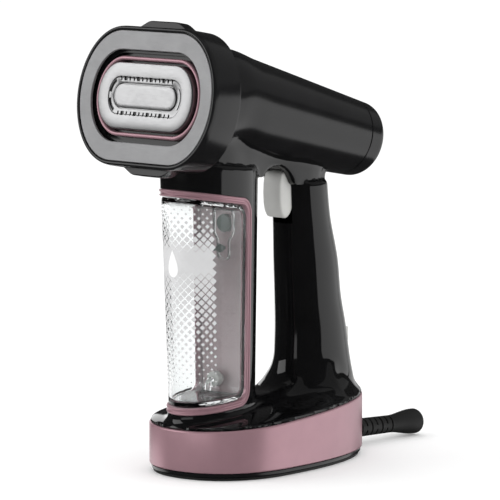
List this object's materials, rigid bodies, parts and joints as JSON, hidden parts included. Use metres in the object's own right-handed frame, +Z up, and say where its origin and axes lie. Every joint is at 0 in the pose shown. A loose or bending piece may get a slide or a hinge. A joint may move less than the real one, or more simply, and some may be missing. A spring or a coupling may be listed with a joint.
{
  "type": "garment steamer",
  "caption": "Handheld garment steamer on a wide foot: racetrack steam plate, tapered barrel, clear water tank column and trigger grip.",
  "frame": {"origin": "on the resting plane, under the middle of the foot, where the rest face is measured", "axes": "+Z up, steam plate towards -Y, cord guard towards +Y, left and right mirrored across X = 0"},
  "size_m": [0.1208, 0.2702, 0.2919],
  "materials": {
    "gloss_black": "high gloss injection moulding",
    "satin_black": "fine satin",
    "rose_plastic": "satin rose-gold paint",
    "black_rubber": "matte moulded rubber",
    "silver_plate": "polished, smooth steam plate",
    "grey_face": "fine brushed grey",
    "light_grey_plastic": "satin",
    "clear_tank": "clear moulded plastic",
    "steel": "plain",
    "cast_aluminium": "die-cast, matte",
    "brass": "plain",
    "inner_plastic": "plain technical plastic",
    "board_green": "circuit board",
    "insulation": "pressed mineral fibre"
  },
  "bodies": {
    "body": {"anti_slip_pad": "black_rubber", "barrel_end_cap": "satin_black", "barrel_shell": "satin_black", "bay_back_panel": "rose_plastic", "bay_trim": "rose_plastic", "board_relay": "inner_plastic", "bottom_cover": "satin_black", "bridge": "gloss_black", "button_bezel": "satin_black", "button_board": "board_green", "column_spine": "gloss_black", "control_board": "board_green", "cord_clamp": "satin_black", "cord_guard": "black_rubber", "delivery_hose": "inner_plastic", "foot_band": "rose_plastic", "foot_screw_1": "steel", "foot_screw_2": "steel", "foot_screw_3": "steel", "foot_screw_4": "steel", "foot_top_cover": "gloss_black", "generator_cover": "cast_aluminium", "generator_gasket": "black_rubber", "grip_shell_left": "gloss_black", "grip_shell_right": "gloss_black", "head_housing": "satin_black", "heating_element": "steel", "indicator_lens": "clear_tank", "insulation_wrap": "insulation", "plate_insert": "silver_plate", "power_leads": "inner_plastic", "pump_body": "inner_plastic", "pump_coil": "inner_plastic", "pump_mount_front": "black_rubber", "pump_mount_rear": "black_rubber", "rose_ring": "rose_plastic", "steam_generator": "cast_aluminium", "steam_plate": "silver_plate", "suction_hose": "clear_tank", "switch_plunger": "inner_plastic", "terminal_block": "inner_plastic", "thermal_fuse": "brass", "thermostat": "steel", "trigger_pin": "steel", "trigger_spring": "steel", "trigger_switch": "inner_plastic"},
    "trigger": {"trigger": "light_grey_plastic"},
    "power_button": {"power_button": "light_grey_plastic"},
    "steam_level_button": {"steam_level_button": "light_grey_plastic"},
    "tank": {"tank_body": "clear_tank", "filler_plug": "black_rubber", "tank_valve": "light_grey_plastic", "pick_up_tube": "clear_tank"},
    "front_cover": {"cover_sleeve": "satin_black", "cover_face_plate": "grey_face"}
  },
  "joints": [
    {"name": "trigger_squeeze", "type": "hinge", "parent": "body", "child": "trigger", "pos_m": [0, 0.034, 0.187], "axis": [1, 0, 0], "range_deg": [0, 7], "stiffness_Nm_per_rad": 0.25, "springref_deg": -11.46},
    {"name": "power_button_press", "type": "slide", "parent": "body", "child": "power_button", "axis": [0, -1, 0], "range_m": [0, 0.0012], "stiffness_N_per_m": 900, "springref_m": -0.0008},
    {"name": "steam_level_button_press", "type": "slide", "parent": "body", "child": "steam_level_button", "axis": [0, -1, 0], "range_m": [0, 0.0012], "stiffness_N_per_m": 900, "springref_m": -0.0008},
    {"name": "tank_slide", "type": "slide", "parent": "body", "child": "tank", "axis": [0, -1, 0], "range_m": [0, 0.075]},
    {"name": "front_cover_pull", "type": "slide", "parent": "body", "child": "front_cover", "axis": [0, -0.9853, 0.1711], "range_m": [0, 0.035]}
  ]
}
